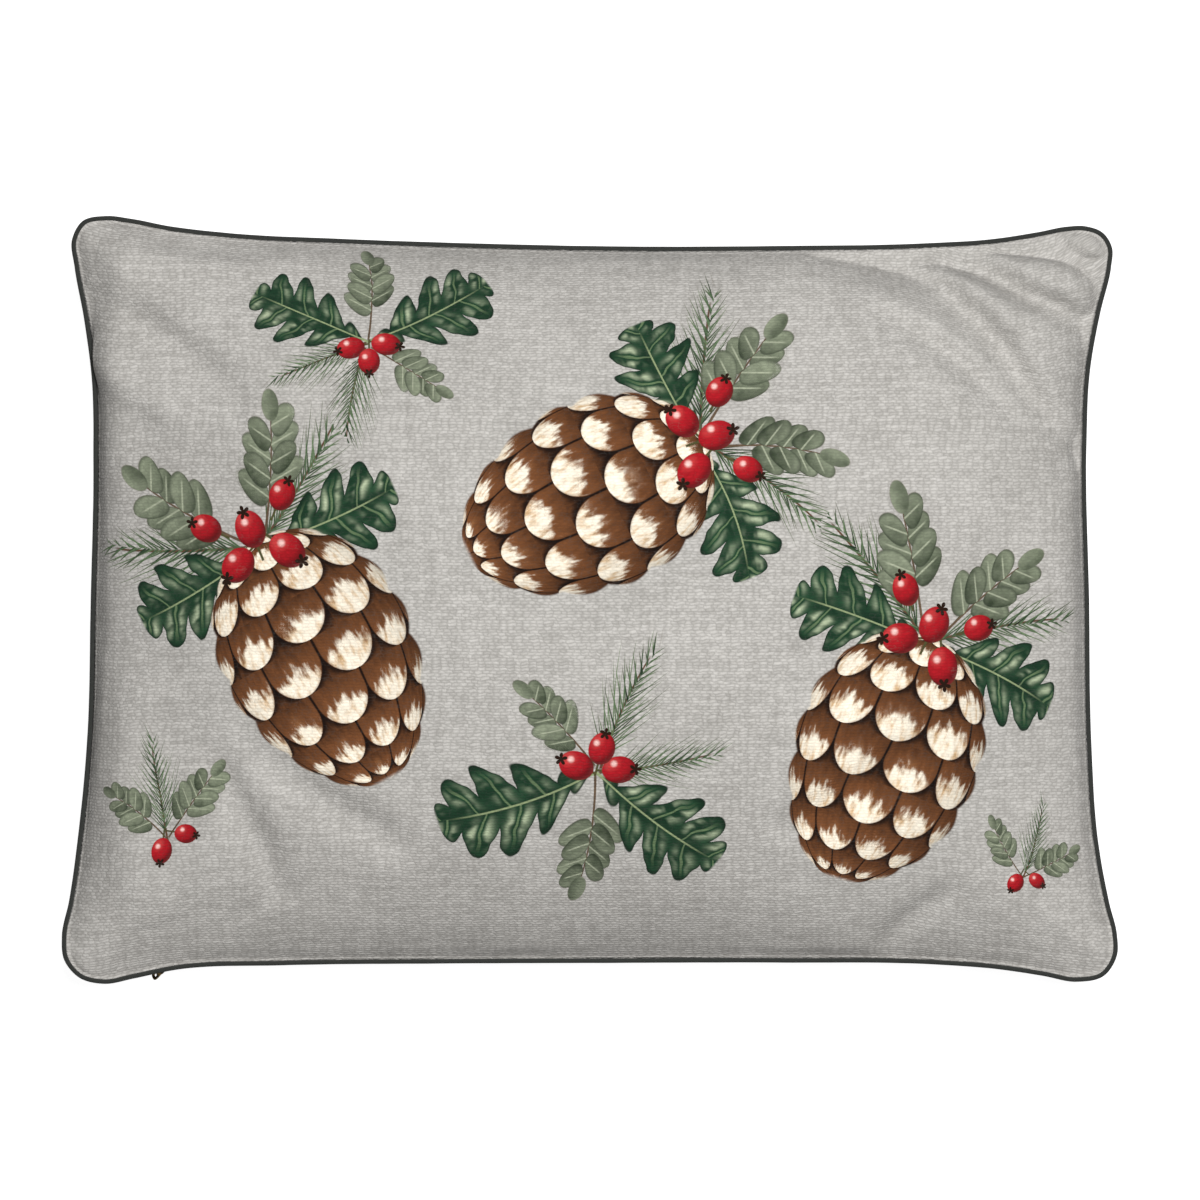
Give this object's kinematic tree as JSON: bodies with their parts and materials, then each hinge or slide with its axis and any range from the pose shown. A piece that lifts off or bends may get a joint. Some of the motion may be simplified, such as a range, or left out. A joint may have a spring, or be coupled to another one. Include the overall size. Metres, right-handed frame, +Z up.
{
  "type": "cushion",
  "caption": "Rectangular filled scatter cushion with dark piping round its seam and a zip beneath its lower edge, lying on its back.",
  "frame": {"origin": "the point of the surface it lies on under the middle of the cushion's box", "axes": "+X along the length, +Y towards the edge opposite the zip, +Z up out of the front panel"},
  "size_m": [0.55, 0.4, 0.132],
  "materials": {
    "cover_fabric": "matt woven cotton and linen look, printed on the front",
    "piping_fabric": "matt charcoal cotton over a cord",
    "zip_tape": "matt woven polyester",
    "zip_teeth": "satin nylon",
    "zip_slider": "black painted die casting, a little worn",
    "zip_pull": "antique brass, dull"
  },
  "bodies": {
    "cushion": {"filled_cover": "cover_fabric", "piping": "piping_fabric", "zip_tape": "zip_tape", "zip_teeth": "zip_teeth", "zip_end_stop": "zip_teeth"},
    "slider": {"zip_slider": "zip_slider"},
    "pull": {"zip_pull": "zip_pull"}
  },
  "joints": [
    {"name": "zip_slide", "type": "slide", "parent": "cushion", "child": "slider", "axis": [1, 0.0087, 0], "range_m": [0, 0.4035]},
    {"name": "pull_swing", "type": "hinge", "parent": "slider", "child": "pull", "pos_m": [-0.22167, -0.19075, 0.05335], "axis": [0.4009, -0.789, 0.4655], "range_deg": [-35, 115]}
  ]
}
